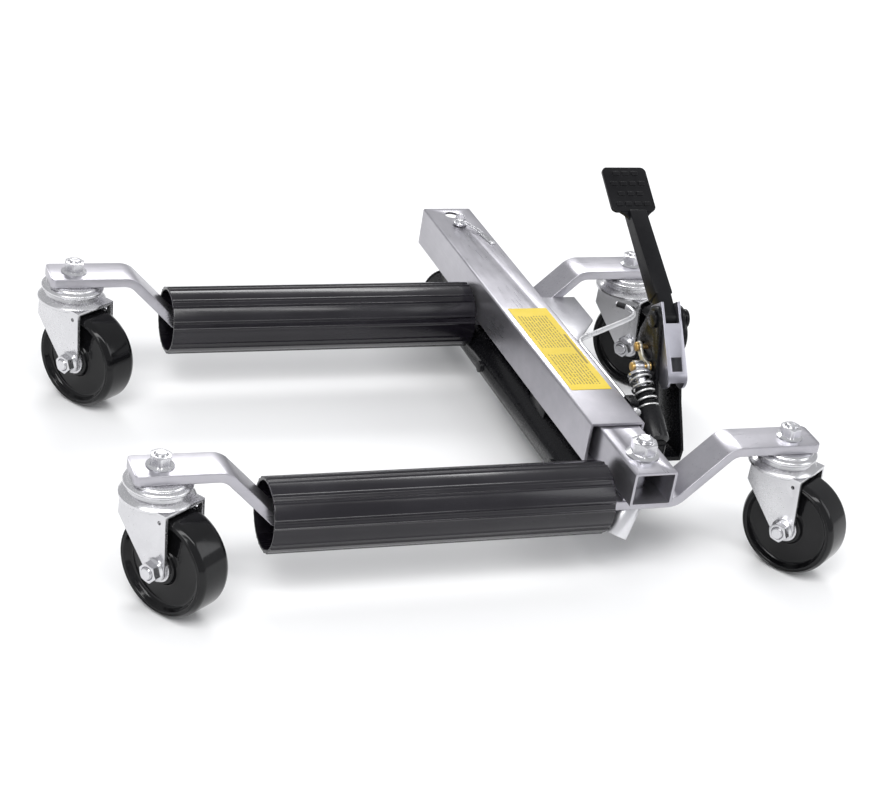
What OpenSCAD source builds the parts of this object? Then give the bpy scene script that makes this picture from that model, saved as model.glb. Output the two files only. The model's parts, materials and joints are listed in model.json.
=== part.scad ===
// Wheel dolly: telescoping beam, two roller arms, four swivel casters, foot pump.
// +X runs along the arms to the pedal side, +Y along the beam, +Z up, floor at z = 0.

/* [Beam] */
// Outer tube width
outer_w = 60; // [40:1:90]
// Outer tube height
outer_h = 46; // [30:1:80]
// Outer tube length
outer_len = 520; // [300:5:800]
// Inner tube width
inner_w = 46; // [30:1:80]
// Inner tube height
inner_h = 38; // [25:1:70]
// Inner tube length
inner_len = 407; // [250:5:600]
// Tube wall
wall = 3; // [2:0.5:6]
// Inner tube end ahead of the near arm's centre line
inner_nose = 37; // [25:1:80]
// Outer tube mouth behind the near arm's centre line
mouth_y = 55; // [45:1:200]
// Outer tube's centre, sideways from the inner tube's
outer_dx = -3; // [-3.5:0.5:0]
// Underside of the outer tube
beam_z = 85.1; // [60:0.1:140]
// Radius of the cross hole near the far end
cross_r = 8.5; // [5:0.5:12]
// Cross hole's centre from the far end
cross_in = 18; // [14:1:40]

/* [Arms] */
// Distance between the two arms
arm_gap = 400; // [300:5:650]
// Kingpin to beam centre, tyre side
reach_l = 490; // [350:5:650]
// Kingpin to beam centre, pedal side
reach_r = 163; // [120:1:250]
// Flat bar width
bar_w = 40; // [25:1:60]
// Flat bar thickness
bar_t = 10; // [6:0.5:14]
// Top face of the caster plates
plate_z = 140; // [110:1:180]
// Drop of the bar between plate and roller
bar_drop = 55; // [30:1:80]
// Bar beyond each kingpin
bar_tail = 27; // [18:1:40]
// Inner bend radius
bend_r = 15; // [8:1:25]
// How far inside the roller's mouth the bar levels out
bend_in = 18; // [10:1:20]

/* [Rollers] */
// Roller outside radius
roll_r = 37; // [25:0.5:50]
// Roller wall
roll_wall = 4; // [2:0.5:8]
// Free end of the roller, from the beam centre
roll_out = 385; // [250:5:500]
// Beam end of the roller, from the beam centre
roll_in = 36; // [34:0.5:60]
// Bush length
bush_len = 14; // [8:1:30]

/* [Casters] */
// Wheel radius
wheel_r = 52; // [45:1:52]
// Wheel width
wheel_w = 40; // [24:1:40]
// Trail from kingpin to axle
trail = 28; // [20:1:40]
// Swivel angle of the casters
swivel_deg = -56; // [-180:1:180]
// Fork leg thickness
leg_t = 3.5; // [2:0.5:6]
// Axle and kingpin radius
pin_r = 6; // [4:0.5:8]
// Fork crown radius
crown_r = 36; // [30:0.5:40]

/* [Ram] */
// Ram cylinder radius
ram_r = 24; // [18:0.5:30]
// Ram axis, sideways
ram_x = -10; // [-14:0.5:0]
// Ram axis height
ram_z = 46; // [40:0.5:60]
// Ram cylinder length
ram_len = 448; // [300:2:600]
// Rod radius
rod_r = 9; // [6:0.5:12]

/* [Pump] */
// Plunger axis, sideways
plunge_x = 54; // [50:0.5:58]
// Plunger lean from the vertical
lean = 55; // [40:1:70]
// Pedal pivot, along the beam
pivot_y = 157; // [145:1:170]
// Pedal pivot height
pivot_z = 195; // [185:1:205]
// Pedal arm width
arm_w = 20; // [14:1:22]
// Pedal socket width
sock_w = 22; // [18:1:26]
// Pedal arm centre, sideways
arm_x = 85; // [84:0.5:90]
// Pad width
pad_w = 52; // [50:1:70]
// Pad length
pad_l = 56; // [54:1:70]
// Pad slope
pad_deg = 33; // [30:1:36]

/* [Hidden] */
$fn = 64;
e = 0.05;
run = 0.06;
outer_x0 = outer_dx - outer_w / 2;
outer_x1 = outer_dx + outer_w / 2;
outer_y1 = mouth_y + outer_len;
outer_top = beam_z + outer_h;
inner_z0 = beam_z + (outer_h - inner_h) / 2;
inner_top = inner_z0 + inner_h;
bar_low = plate_z - bar_drop - bar_t;
bar_top = bar_low + bar_t;
roll_z = bar_low + bar_t / 2;
bore_r = roll_r - roll_wall;
slope_dx = bar_drop + (2 * bend_r + bar_t) * (1 / cos(45) - 1);
fork_top = plate_z - bar_t - 9.4;
fork_z = fork_top - 12.6;
race_z = fork_top + 0.4;
leg_in = wheel_w / 2 + 3;
leg_out = leg_in + leg_t;
axis_lean = [0, sin(lean), cos(lean)];
head_s = 52;
pin_b = [plunge_x, 142, 147];
base_pt = pin_b - head_s * axis_lean;
pin_a = [plunge_x, 166, 158];
pivot = [pivot_y, pivot_z];
crest = [290, 275];
heel = [119, 145.8];
up_dir = (crest - pivot) / norm(crest - pivot);
up_nrm = [-up_dir[1], up_dir[0]];
tail_dir = (heel - pivot) / norm(heel - pivot);
tail_nrm = [tail_dir[1], -tail_dir[0]];
pad_c = [arm_x - 2, 294, 281];
sock_x0 = arm_x - sock_w / 2;
sock_x1 = arm_x + sock_w / 2;
ram_y0 = 92;
hitch_y = 530;
hitch_x = outer_dx;
handle_z = 122;
handle_x = 34.5;
valve_y = 105;
// Outer limits of the whole part, used to centre it over the origin.
shoulder_r = wheel_r - 3;
trail_dx = trail * cos(swivel_deg);
trail_dy = trail * sin(swivel_deg);
wheel_dx = shoulder_r * abs(cos(swivel_deg)) + wheel_w / 2 * abs(sin(swivel_deg));
wheel_dy = shoulder_r * abs(sin(swivel_deg)) + wheel_w / 2 * abs(cos(swivel_deg));
ext_x0 = -reach_l - crown_r;
ext_x1 = reach_r + trail_dx + wheel_dx;
ext_y0 = trail_dy - wheel_dy;
ext_y1 = outer_y1;
org_x = (ext_x0 + ext_x1) / 2;
org_y = (ext_y0 + ext_y1) / 2;

// Moves working coordinates (near arm on the Y zero line) to the centred frame.
module place() {
  translate([-org_x, -org_y, 0]) children();
}

// Caster frame: local +X is the trail, local Y the axle.
module at_caster(side, far) {
  x = side < 0 ? -reach_l : reach_r;
  place() translate([x, far * arm_gap, 0]) rotate([0, 0, swivel_deg]) children();
}

// Cylinder along X from x0 to x1.
module xcyl(x0, x1, y, z, r) {
  translate([x0, y, z]) rotate([0, 90, 0]) cylinder(r = r, h = x1 - x0);
}

// Cylinder along Y from y0 to y1.
module ycyl(x, y0, y1, z, r) {
  translate([x, y0, z]) rotate([-90, 0, 0]) cylinder(r = r, h = y1 - y0);
}

// Hexagonal prism on the XY plane.
module hex(af, h) {
  cylinder(r = af / 2 / cos(30), h = h, $fn = 6);
}

// Flange nut standing on the XY plane, with a bore.
module flange_nut(af, h, fl_r, bore) {
  difference() {
    union() {
      cylinder(r1 = fl_r, r2 = fl_r - 1.5, h = 2.6);
      intersection() {
        hex(af, h);
        cylinder(r1 = af * 0.66, r2 = af * 0.52, h = h);
      }
    }
    translate([0, 0, -1]) cylinder(r = bore, h = h + 2);
  }
}

// Points of an arc in the XZ plane.
function arc(cx, cz, r, a0, a1, n) =
  [for (i = [0:n]) [cx + r * cos(a0 + (a1 - a0) * i / n), cz + r * sin(a0 + (a1 - a0) * i / n)]];

function flip(p) = [for (i = [len(p) - 1:-1:0]) p[i]];

// Side profile of a flat bar: plate, bend, low run under the beam, bend, plate.
function bar_profile() = let(
    ri = bend_r,
    ro = bend_r + bar_t,
    x2 = -roll_out + bend_in,
    x1 = x2 - slope_dx,
    x3 = -outer_x0 - 3,
    x4 = x3 + slope_dx,
    zc = plate_z - ro,
    zl = bar_top + ri,
    top = concat([[-reach_l - bar_tail, plate_z]], arc(x1, zc, ro, 90, 45, 6),
      arc(x2, zl, ri, 225, 270, 6), arc(x3, zl, ri, 270, 315, 6),
      arc(x4, zc, ro, 135, 90, 6), [[reach_r + bar_tail, plate_z]]),
    low = concat([[-reach_l - bar_tail, plate_z - bar_t]], arc(x1, zc, ri, 90, 45, 6),
      arc(x2, zl, ro, 225, 270, 6), arc(x3, zl, ro, 270, 315, 6),
      arc(x4, zc, ri, 135, 90, 6), [[reach_r + bar_tail, plate_z - bar_t]])
  ) concat(top, flip(low));

module arm_bar() {
  difference() {
    intersection() {
      translate([0, bar_w / 2, 0]) rotate([90, 0, 0]) linear_extrude(bar_w) polygon(bar_profile());
      translate([-reach_l - bar_tail, -bar_w / 2, 0]) linear_extrude(200)
        offset(r = 4, $fn = 24) offset(delta = -4) square([reach_l + reach_r + 2 * bar_tail, bar_w]);
    }
    translate([-reach_l, 0, 0]) cylinder(r = pin_r + 0.3, h = 200);
    translate([reach_r, 0, 0]) cylinder(r = pin_r + 0.3, h = 200);
  }
}

module near_arm() {
  color("silver") place() difference() {
    arm_bar();
    cylinder(r = 8 + e, h = 120);
  }
}

module far_arm() {
  color("silver") place() translate([0, arm_gap, 0]) arm_bar();
}

// Rectangular tube along Y with rounded corners.
module box_tube(w, h, len, t) {
  rotate([-90, 0, 0]) linear_extrude(len) difference() {
    offset(r = 2.5, $fn = 24) square([w - 5, h - 5], center = true);
    offset(r = 1, $fn = 24) square([w - 2 * t - 2, h - 2 * t - 2], center = true);
  }
}

module outer_tube() {
  color("gainsboro") place() difference() {
    translate([outer_dx, mouth_y, beam_z + outer_h / 2]) box_tube(outer_w, outer_h, outer_len, wall);
    translate([outer_dx, outer_y1 - cross_in, beam_z - 1]) cylinder(r = cross_r, h = outer_h + 2);
    translate([hitch_x, hitch_y, beam_z - 1]) cylinder(r = 5.4, h = outer_h + 2);
  }
}

module inner_tube() {
  color("gainsboro") place() difference() {
    translate([0, -inner_nose, inner_z0 + inner_h / 2]) box_tube(inner_w, inner_h, inner_len, wall);
    translate([0, 0, inner_z0 - 1]) cylinder(r = 8 + e, h = inner_h + 2);
  }
}

module near_spacer() {
  color("silver") place() difference() {
    translate([-19, -19, bar_top + e]) cube([38, 38, inner_z0 - bar_top - 2 * e]);
    cylinder(r = 8 + e, h = 120);
  }
}

module roller(y) {
  place() difference() {
    xcyl(-roll_out, -roll_in, y, roll_z, roll_r);
    xcyl(-roll_out - 1, -roll_in + 1, y, roll_z, bore_r);
  }
}

module near_roller() {
  color("dimgray") roller(0);
}

module far_roller() {
  color("dimgray") roller(arm_gap);
}

module bushes(y) {
  place() difference() {
    union() {
      xcyl(-roll_out + bend_in + 6, -roll_out + bend_in + 6 + bush_len, y, roll_z, bore_r - run);
      xcyl(-roll_in - 14 - bush_len, -roll_in - 14, y, roll_z, bore_r - run);
    }
    translate([-roll_out, y - bar_w / 2 - e, bar_low - e]) cube([roll_out, bar_w + 2 * e, bar_t + 2 * e]);
  }
}

module near_bushes() {
  color("gray") bushes(0);
}

module far_bushes() {
  color("gray") bushes(arm_gap);
}

module arm_stud() {
  color("silver") place() translate([0, 0, bar_low - 3]) cylinder(r = 8, h = inner_top + 19 - bar_low + 3);
}

module arm_nut() {
  color("silver") place() translate([0, 0, inner_top + e]) flange_nut(24, 15, 17, 8 + e);
}

// Short slanted socket under the near arm.
module arm_socket() {
  tilt = [-0.42, -0.28, -0.86] / norm([-0.42, -0.28, -0.86]);
  turn = [0, acos(tilt[2]), atan2(tilt[1], tilt[0])];
  color("gainsboro") place() difference() {
    intersection() {
      translate([0, 0, bar_low + 12]) rotate(turn) cylinder(r = 14, h = 50);
      translate([-60, -60, 0]) cube([120, 120, bar_low - e]);
    }
    translate([0, 0, bar_low + 12]) rotate(turn) cylinder(r = 10.5, h = 60);
    cylinder(r = 8.2, h = 120);
  }
}

module kingpins(y) {
  for (x = [-reach_l, reach_r]) {
    place() translate([x, y, 0]) {
      translate([0, 0, fork_z - 5.4]) cylinder(r1 = 8.5, r2 = 10, h = 5);
      translate([0, 0, fork_z - 1]) cylinder(r = pin_r, h = plate_z + 14.5 - fork_z + 1);
    }
  }
}

module near_kingpins() {
  color("silver") kingpins(0);
}

module far_kingpins() {
  color("silver") kingpins(arm_gap);
}

module races(y) {
  for (x = [-reach_l, reach_r]) {
    place() translate([x, y, 0]) rotate_extrude() polygon([[pin_r + e, race_z],
      [31, race_z], [33, race_z + 1.5], [33, race_z + 4], [30, race_z + 6],
      [25, plate_z - bar_t - e], [pin_r + e, plate_z - bar_t - e]]);
  }
}

module near_races() {
  color("gainsboro") races(0);
}

module far_races() {
  color("gainsboro") races(arm_gap);
}

module king_nuts(y) {
  for (x = [-reach_l, reach_r]) {
    place() translate([x, y, plate_z + e]) flange_nut(19, 12, 13.5, pin_r + e);
  }
}

module near_king_nuts() {
  color("silver") king_nuts(0);
}

module far_king_nuts() {
  color("silver") king_nuts(arm_gap);
}

// Caster fork in its own frame: crown on the kingpin, two tapered legs.
module fork_shape() {
  difference() {
    union() {
      rotate_extrude() polygon([[0, fork_z], [crown_r - 1, fork_z], [crown_r, fork_z + 1],
        [crown_r, fork_z + 3.5], [33, fork_z + 6], [29, fork_z + 8], [28, fork_top], [0, fork_top]]);
      translate([0, -leg_out, fork_z]) cube([crown_r - 1, 2 * leg_out, 3.4]);
      for (s = [-1, 1]) {
        translate([0, s > 0 ? leg_out : -leg_in, 0]) rotate([90, 0, 0]) linear_extrude(leg_t) {
          polygon([[-22, fork_z + 1], [-22, fork_z - 18], [trail - 10.6, wheel_r - 6],
            [trail, wheel_r - 6], [trail + 12, wheel_r + 1], [crown_r - 1, fork_z + 1]]);
          translate([trail, wheel_r]) circle(r = 12);
        }
      }
    }
    translate([0, 0, fork_z - 1]) cylinder(r = pin_r + run, h = 20);
    translate([trail, -40, wheel_r]) rotate([-90, 0, 0]) cylinder(r = pin_r + e, h = 80);
    translate([28, -40, fork_z - 6]) rotate([-90, 0, 0]) cylinder(r = 2, h = 80);
  }
}

module axle_shape() {
  translate([trail, -leg_out - 12.5, wheel_r]) rotate([-90, 0, 0])
    cylinder(r = pin_r, h = 2 * leg_out + 12.6);
  translate([trail, leg_out + e, wheel_r]) rotate([-90, 0, 0]) hex(18, 7);
}

module axle_nut_shape() {
  translate([trail, -leg_out - e, wheel_r]) rotate([90, 0, 0]) flange_nut(18, 10, 11.5, pin_r + e);
}

module wheel_shape() {
  w = wheel_w / 2;
  translate([trail, 0, wheel_r]) rotate([90, 0, 0]) rotate_extrude($fn = 96) polygon([[10 + e, -w],
    [17, -w], [18, -w + 5], [wheel_r - 10, -w + 7], [wheel_r - 7, -w], [shoulder_r, -w],
    [wheel_r, -w + 5], [wheel_r, w - 5], [shoulder_r, w], [wheel_r - 7, w],
    [wheel_r - 10, w - 7], [18, w - 5], [17, w], [10 + e, w]]);
}

module hub_shape() {
  w = wheel_w / 2;
  translate([trail, 0, wheel_r]) rotate([90, 0, 0]) rotate_extrude() polygon([[pin_r + run, -w - 2.5],
    [14, -w - 2.5], [14, -w - e], [10, -w - e], [10, w + e], [14, w + e], [14, w + 2.5],
    [pin_r + run, w + 2.5]]);
}

module fork_nl() {
  color("silver") at_caster(-1, 0) fork_shape();
}
module fork_nr() {
  color("silver") at_caster(1, 0) fork_shape();
}
module fork_fl() {
  color("silver") at_caster(-1, 1) fork_shape();
}
module fork_fr() {
  color("silver") at_caster(1, 1) fork_shape();
}
module axle_nl() {
  color("silver") at_caster(-1, 0) axle_shape();
}
module axle_nr() {
  color("silver") at_caster(1, 0) axle_shape();
}
module axle_fl() {
  color("silver") at_caster(-1, 1) axle_shape();
}
module axle_fr() {
  color("silver") at_caster(1, 1) axle_shape();
}
module axle_nut_nl() {
  color("silver") at_caster(-1, 0) axle_nut_shape();
}
module axle_nut_nr() {
  color("silver") at_caster(1, 0) axle_nut_shape();
}
module axle_nut_fl() {
  color("silver") at_caster(-1, 1) axle_nut_shape();
}
module axle_nut_fr() {
  color("silver") at_caster(1, 1) axle_nut_shape();
}
module wheel_nl() {
  color("black") at_caster(-1, 0) wheel_shape();
}
module wheel_nr() {
  color("black") at_caster(1, 0) wheel_shape();
}
module wheel_fl() {
  color("black") at_caster(-1, 1) wheel_shape();
}
module wheel_fr() {
  color("black") at_caster(1, 1) wheel_shape();
}
module hub_nl() {
  color("silver") at_caster(-1, 0) hub_shape();
}
module hub_nr() {
  color("silver") at_caster(1, 0) hub_shape();
}
module hub_fl() {
  color("silver") at_caster(-1, 1) hub_shape();
}
module hub_fr() {
  color("silver") at_caster(1, 1) hub_shape();
}

module ram_cylinder() {
  color("black") place() difference() {
    union() {
      ycyl(ram_x, ram_y0, ram_y0 + ram_len - 8, ram_z, ram_r);
      translate([ram_x, ram_y0 + ram_len - 8, ram_z]) rotate([-90, 0, 0])
        cylinder(r1 = ram_r, r2 = ram_r - 7, h = 8);
      xcyl(ram_x, outer_x1, 150, ram_z + 6, 8);
      xcyl(ram_x - ram_r - 3.5, ram_x, 118, ram_z, 6.5);
      xcyl(ram_x - ram_r - 3.5, ram_x, 335, ram_z, 6.5);
    }
    ycyl(ram_x, ram_y0 - 1, ram_y0 + ram_len - 20, ram_z, 20);
  }
}

module ram_gland() {
  color("black") place() difference() {
    union() {
      ycyl(ram_x, ram_y0 - 7, ram_y0 - e, ram_z, ram_r);
      ycyl(ram_x, ram_y0 - 1, ram_y0 + 18, ram_z, 20 - e);
    }
    ycyl(ram_x, ram_y0 - 10, ram_y0 + 30, ram_z, rod_r + run);
  }
}

module ram_rod() {
  color("silver") place() ycyl(ram_x, 28, 342, ram_z, rod_r);
}

module ram_piston() {
  color("gray") place() difference() {
    ycyl(ram_x, 318, 340, ram_z, 20 - run);
    ycyl(ram_x, 300, 350, ram_z, rod_r + e);
  }
}

module ram_lug() {
  color("silver") place() difference() {
    translate([ram_x - 12, 16.5, ram_z - 12]) cube([24, 14, bar_low - e - ram_z + 12]);
    ycyl(ram_x, 27.9, 40, ram_z, rod_r + e);
  }
}

module ram_saddles() {
  color("dimgray") place() difference() {
    union() {
      translate([ram_x - 14, 180, ram_z + 8]) cube([28, 40, beam_z - e - ram_z - 8]);
      translate([ram_x - 14, 470, ram_z + 8]) cube([28, 40, beam_z - e - ram_z - 8]);
    }
    ycyl(ram_x, 100, 540, ram_z, ram_r + e);
  }
}

// Points the children's +Z along the plunger.
module on_axis(s) {
  place() translate(base_pt + s * axis_lean) rotate([-lean, 0, 0]) children();
}

module pump_block() {
  color("black") difference() {
    union() {
      place() translate([outer_x1 + e, 70, 44]) linear_extrude(48)
        translate([5, 5]) offset(r = 5, $fn = 32) square([68 - outer_x1 - 10, 210]);
      on_axis(-34) cylinder(r = 14, h = 35);
      on_axis(-12) cylinder(r = 9, h = 38);
      place() translate([plunge_x - 12, 72, 90]) cube([24, 28, 20]);
      place() translate([handle_x - 5, valve_y - 8, 90]) cube([10, 16, handle_z - 82]);
    }
    on_axis(-31) cylinder(r = 6 + run, h = 70);
    place() ycyl(handle_x, 80, 130, handle_z, 3 + run);
  }
}

module plunger() {
  color("silver") difference() {
    union() {
      on_axis(-15) cylinder(r = 6, h = 60);
      on_axis(41) cylinder(r = 12.5, h = 3);
      on_axis(43) translate([-4.6, -5.2, 0]) cube([9.2, 10.4, head_s - 43]);
      place() xcyl(plunge_x - 5, plunge_x + 5, pin_b[1], pin_b[2], 6.8);
    }
    place() xcyl(plunge_x - 9, plunge_x + 9, pin_b[1], pin_b[2], 3 + e);
  }
}

// Compression spring drawn as stacked slanted rings joined by a thin seam bar.
module plunger_spring() {
  color("silver") {
    for (i = [0:4]) {
      on_axis(3.8 + i * 8.6) rotate([7, 0, 0]) rotate_extrude()
        translate([11.4, 0]) circle(r = 1.2, $fn = 16);
    }
    on_axis(3.8) translate([-12.2, -0.8, 0]) cube([1.6, 1.6, 34.4]);
  }
}

// Two pivot ears and the plate that ties them to the pump block.
module pedal_bracket() {
  color("black") place() difference() {
    union() {
      for (x = [sock_x0 - 4, sock_x1 + 1]) {
        translate([x, 0, 0]) rotate([90, 0, 90]) linear_extrude(3) {
          polygon([[92, 60], [150, 60], [158, 92], [172, 120], [184, 148], [182, 172],
            pivot + [14, 0], pivot - [14, 0], [136, 172], [131, 152], [116, 118], [100, 92], [90, 74]]);
          translate(pivot) circle(r = 14);
        }
      }
      xcyl(sock_x1 + 1, sock_x1 + 7, pivot_y + 2, pivot_z - 18, 22);
      translate([68 + e, 92, 60]) cube([sock_x1 + 4 - 68 - e, 56, 5]);
    }
    xcyl(60, 110, pivot_y, pivot_z, 6 + e);
    hull() {
      xcyl(60, arm_x, pin_a[1] + 1, pin_a[2], 5);
      xcyl(60, arm_x, pin_a[1] - 16, pin_a[2] - 1, 5);
    }
  }
}

module pedal_pivot() {
  color("silver") place() {
    xcyl(sock_x0 - 4 - e, sock_x1 + 8, pivot_y, pivot_z, 6);
    xcyl(sock_x0 - 7, sock_x0 - 4 - e, pivot_y, pivot_z, 9);
    xcyl(sock_x1 + 7 + e, sock_x1 + 11, pivot_y, pivot_z, 10);
  }
}

// Side outline of the pedal socket: front web line, heel, lug for the link pin.
module socket_side() {
  top = pivot - tail_dir * 16;
  lug = [pin_a[1], pin_a[2]];
  polygon([top + tail_nrm * 12, heel + tail_nrm * 12, heel - tail_nrm * 12,
    lug + [3, -8], lug + [9, 2], pivot + [14, 0], top - tail_nrm * 12]);
  translate(heel) circle(r = 12);
  translate(lug) circle(r = 8);
}

// Folded zinc socket that carries the arm and pushes the link.
module pedal_sleeve() {
  color("slategray") place() difference() {
    translate([sock_x0, 0, 0]) rotate([90, 0, 90]) linear_extrude(sock_w) socket_side();
    translate([sock_x0 + 3, 0, 0]) rotate([90, 0, 90]) linear_extrude(sock_w - 6) difference() {
      translate([0, 60]) square([400, 300]);
      polygon([pivot - tail_dir * 90 + tail_nrm * 9, heel + tail_dir * 60 + tail_nrm * 9,
        heel + tail_dir * 60 + tail_nrm * 60, pivot - tail_dir * 90 + tail_nrm * 60]);
    }
    xcyl(60, 110, pivot_y, pivot_z, 6 + run);
    xcyl(60, arm_x, pin_a[1], pin_a[2], 3 + e);
    translate([arm_x, heel[0], heel[1]]) rotate([atan2(-tail_dir[1], -tail_dir[0]), 0, 0])
      translate([-6, 4, 0]) cube([12, 15, 30]);
    translate([sock_x0 + 3, 0, 0]) rotate([90, 0, 90]) linear_extrude(sock_w - 6) polygon([
      pivot + tail_dir * 7 + tail_nrm * 8, pivot + tail_dir * 7 + tail_nrm * 30,
      pivot - tail_dir * 40 + tail_nrm * 30, pivot - tail_dir * 40 + tail_nrm * 8]);
  }
}

// Side outline of the pedal arm from the pivot up to the pad.
module arm_side() {
  k = pivot + up_dir * 26;
  polygon([pivot + up_nrm * 8, pivot - up_nrm * 8, k - up_nrm * 10, crest - up_nrm * 7,
    crest + up_nrm * 7, k + up_nrm * 10]);
  translate(pivot) circle(r = 8.6);
}

module pedal_arm() {
  tip = crest + up_dir * 30;
  k = pivot + up_dir * 26;
  color("black") place() difference() {
    union() {
      translate([sock_x0 + 3 + e, 0, 0]) rotate([90, 0, 90]) linear_extrude(sock_w - 6 - 2 * e) arm_side();
      translate([arm_x - arm_w / 2, 0, 0]) rotate([90, 0, 90]) linear_extrude(arm_w)
        polygon([k - up_nrm * 10, crest - up_nrm * 7, crest + up_nrm * 7, k + up_nrm * 10]);
    }
    translate([arm_x - arm_w / 2 + 4.5, 0, 0]) rotate([90, 0, 90]) linear_extrude(arm_w - 9)
      polygon([k + up_nrm * 7, k - up_nrm * 40, tip - up_nrm * 40, tip + up_nrm * 4]);
    xcyl(60, 110, pivot_y, pivot_z, 6 + run);
    translate(pad_c) rotate([pad_deg, 0, 0]) translate([-40, -pad_l / 2 - e, -2 - e]) cube([80, 120, 60]);
  }
}

module pedal_pad() {
  color("black") place() translate(pad_c) rotate([pad_deg, 0, 0]) union() {
    translate([0, 0, -2]) linear_extrude(4) offset(r = 6, $fn = 32)
      square([pad_w - 12, pad_l - 12], center = true);
    for (r = [0:3]) {
      n = r % 2 == 0 ? 3 : 4;
      for (i = [0:n - 1]) {
        translate([(i - (n - 1) / 2) * 11 - 4, (1.5 - r) * 13 - 2.5, 1.9]) cube([8, 5, 1.8]);
      }
    }
  }
}

// S-shaped link between plunger head and pedal arm.
module drive_link() {
  x0 = plunge_x + 9;
  a = [pin_a[1], pin_a[2]];
  b = [pin_b[1], pin_b[2]];
  m = (a + b) / 2;
  n = [(a - b)[1], -(a - b)[0]] / norm(a - b);
  color("gainsboro") place() difference() {
    translate([x0, 0, 0]) rotate([90, 0, 90]) linear_extrude(3) union() {
      translate(a) circle(r = 6);
      translate(b) circle(r = 6);
      polygon([b - n * 5, b + n * 5, m + n * 6, a + n * 4, a - n * 5, m - n * 1.5]);
    }
    xcyl(x0 - 1, x0 + 5, a[0], a[1], 3 + run);
    xcyl(x0 - 1, x0 + 5, b[0], b[1], 4);
  }
}

module link_pin_a() {
  color("gold") place() {
    xcyl(plunge_x + 8, sock_x0 + 2.8, pin_a[1], pin_a[2], 3);
    xcyl(plunge_x + 6.2, plunge_x + 8.6, pin_a[1], pin_a[2], 5);
  }
}

module link_pin_b() {
  color("gold") place() {
    xcyl(plunge_x - 7, plunge_x + 13, pin_b[1], pin_b[2], 3);
    xcyl(plunge_x + 12.4, plunge_x + 14.6, pin_b[1], pin_b[2], 5);
    xcyl(plunge_x - 7.5, plunge_x - 5.2, pin_b[1], pin_b[2], 5);
  }
}

// Points of a path moved sideways by d.
function beside(path, d) = [for (i = [0:len(path) - 1]) let(
    along = path[min(i + 1, len(path) - 1)] - path[max(i - 1, 0)]
  ) path[i] + d * [-along[1], along[0]] / norm(along)];

// Rod in the valve post, then a flat curved handle at the same height.
module release_rod() {
  handle = [[handle_x, 236], [handle_x, 244], [40, 252], [52, 259], [92, 282], [118, 297],
    [129, 307], [131, 320], [126, 330], [118, 336]];
  color("silver") place() {
    ycyl(handle_x, 92, 240, handle_z, 3);
    ycyl(handle_x, 88, 92, handle_z, 5);
    translate([0, 0, handle_z - 3.3]) linear_extrude(6.6)
      polygon(concat(beside(handle, 3.3), flip(beside(handle, -3.3))));
  }
}

module gusset() {
  color("gainsboro") place() translate([0, 0, 106]) linear_extrude(3) polygon([[outer_x1 + e, 262],
    [52, 277], [87, 322], [88, arm_gap - bar_w / 2 - e], [outer_x1 + e, arm_gap - bar_w / 2 - e]]);
}

module label_plate() {
  color("gold") place() translate([outer_dx - 23, 125, outer_top + 0.02]) cube([46, 185, 0.4]);
}

module hitch_pin() {
  color("silver") place() translate([hitch_x, hitch_y, 0]) {
    translate([0, 0, beam_z - 9]) cylinder(r = 5, h = outer_h + 11);
    translate([0, 0, beam_z - 12]) cylinder(r1 = 3.5, r2 = 5, h = 3.1);
    translate([0, 0, outer_top + 0.4]) cylinder(r = 8, h = 3);
    translate([0, 0, outer_top + 8]) rotate([0, 90, 30]) rotate_extrude()
      translate([5, 0]) circle(r = 1.5, $fn = 16);
  }
}

// Keeper strap and rivet beside the hitch pin.
module hitch_chain() {
  color("silver") place() {
    translate([outer_x1 - 8, 478, outer_top + e]) cylinder(r1 = 4, r2 = 3, h = 2.6);
    hull() {
      translate([outer_x1 - 8, 478, outer_top + 0.3]) cylinder(r = 3.8, h = 1);
      translate([outer_x1 - 12, 500, outer_top + 0.3]) cylinder(r = 3.4, h = 1);
    }
  }
}

outer_tube();
inner_tube();
near_arm();
far_arm();
near_spacer();
near_roller();
far_roller();
near_bushes();
far_bushes();
arm_stud();
arm_nut();
arm_socket();
near_kingpins();
far_kingpins();
near_races();
far_races();
near_king_nuts();
far_king_nuts();
fork_nl();
fork_nr();
fork_fl();
fork_fr();
axle_nl();
axle_nr();
axle_fl();
axle_fr();
axle_nut_nl();
axle_nut_nr();
axle_nut_fl();
axle_nut_fr();
wheel_nl();
wheel_nr();
wheel_fl();
wheel_fr();
hub_nl();
hub_nr();
hub_fl();
hub_fr();
ram_cylinder();
ram_gland();
ram_rod();
ram_piston();
ram_lug();
ram_saddles();
pump_block();
plunger();
plunger_spring();
pedal_bracket();
pedal_pivot();
pedal_arm();
pedal_sleeve();
pedal_pad();
drive_link();
link_pin_a();
link_pin_b();
release_rod();
gusset();
label_plate();
hitch_pin();
hitch_chain();
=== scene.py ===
"""Wheel dolly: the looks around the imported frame.

Lengths are working millimetres: X from the beam's centre line, Y from the near arm, Z from the floor.
"""
import bpy
import bmesh
import json
import math
from mathutils import Matrix, Vector

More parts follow.
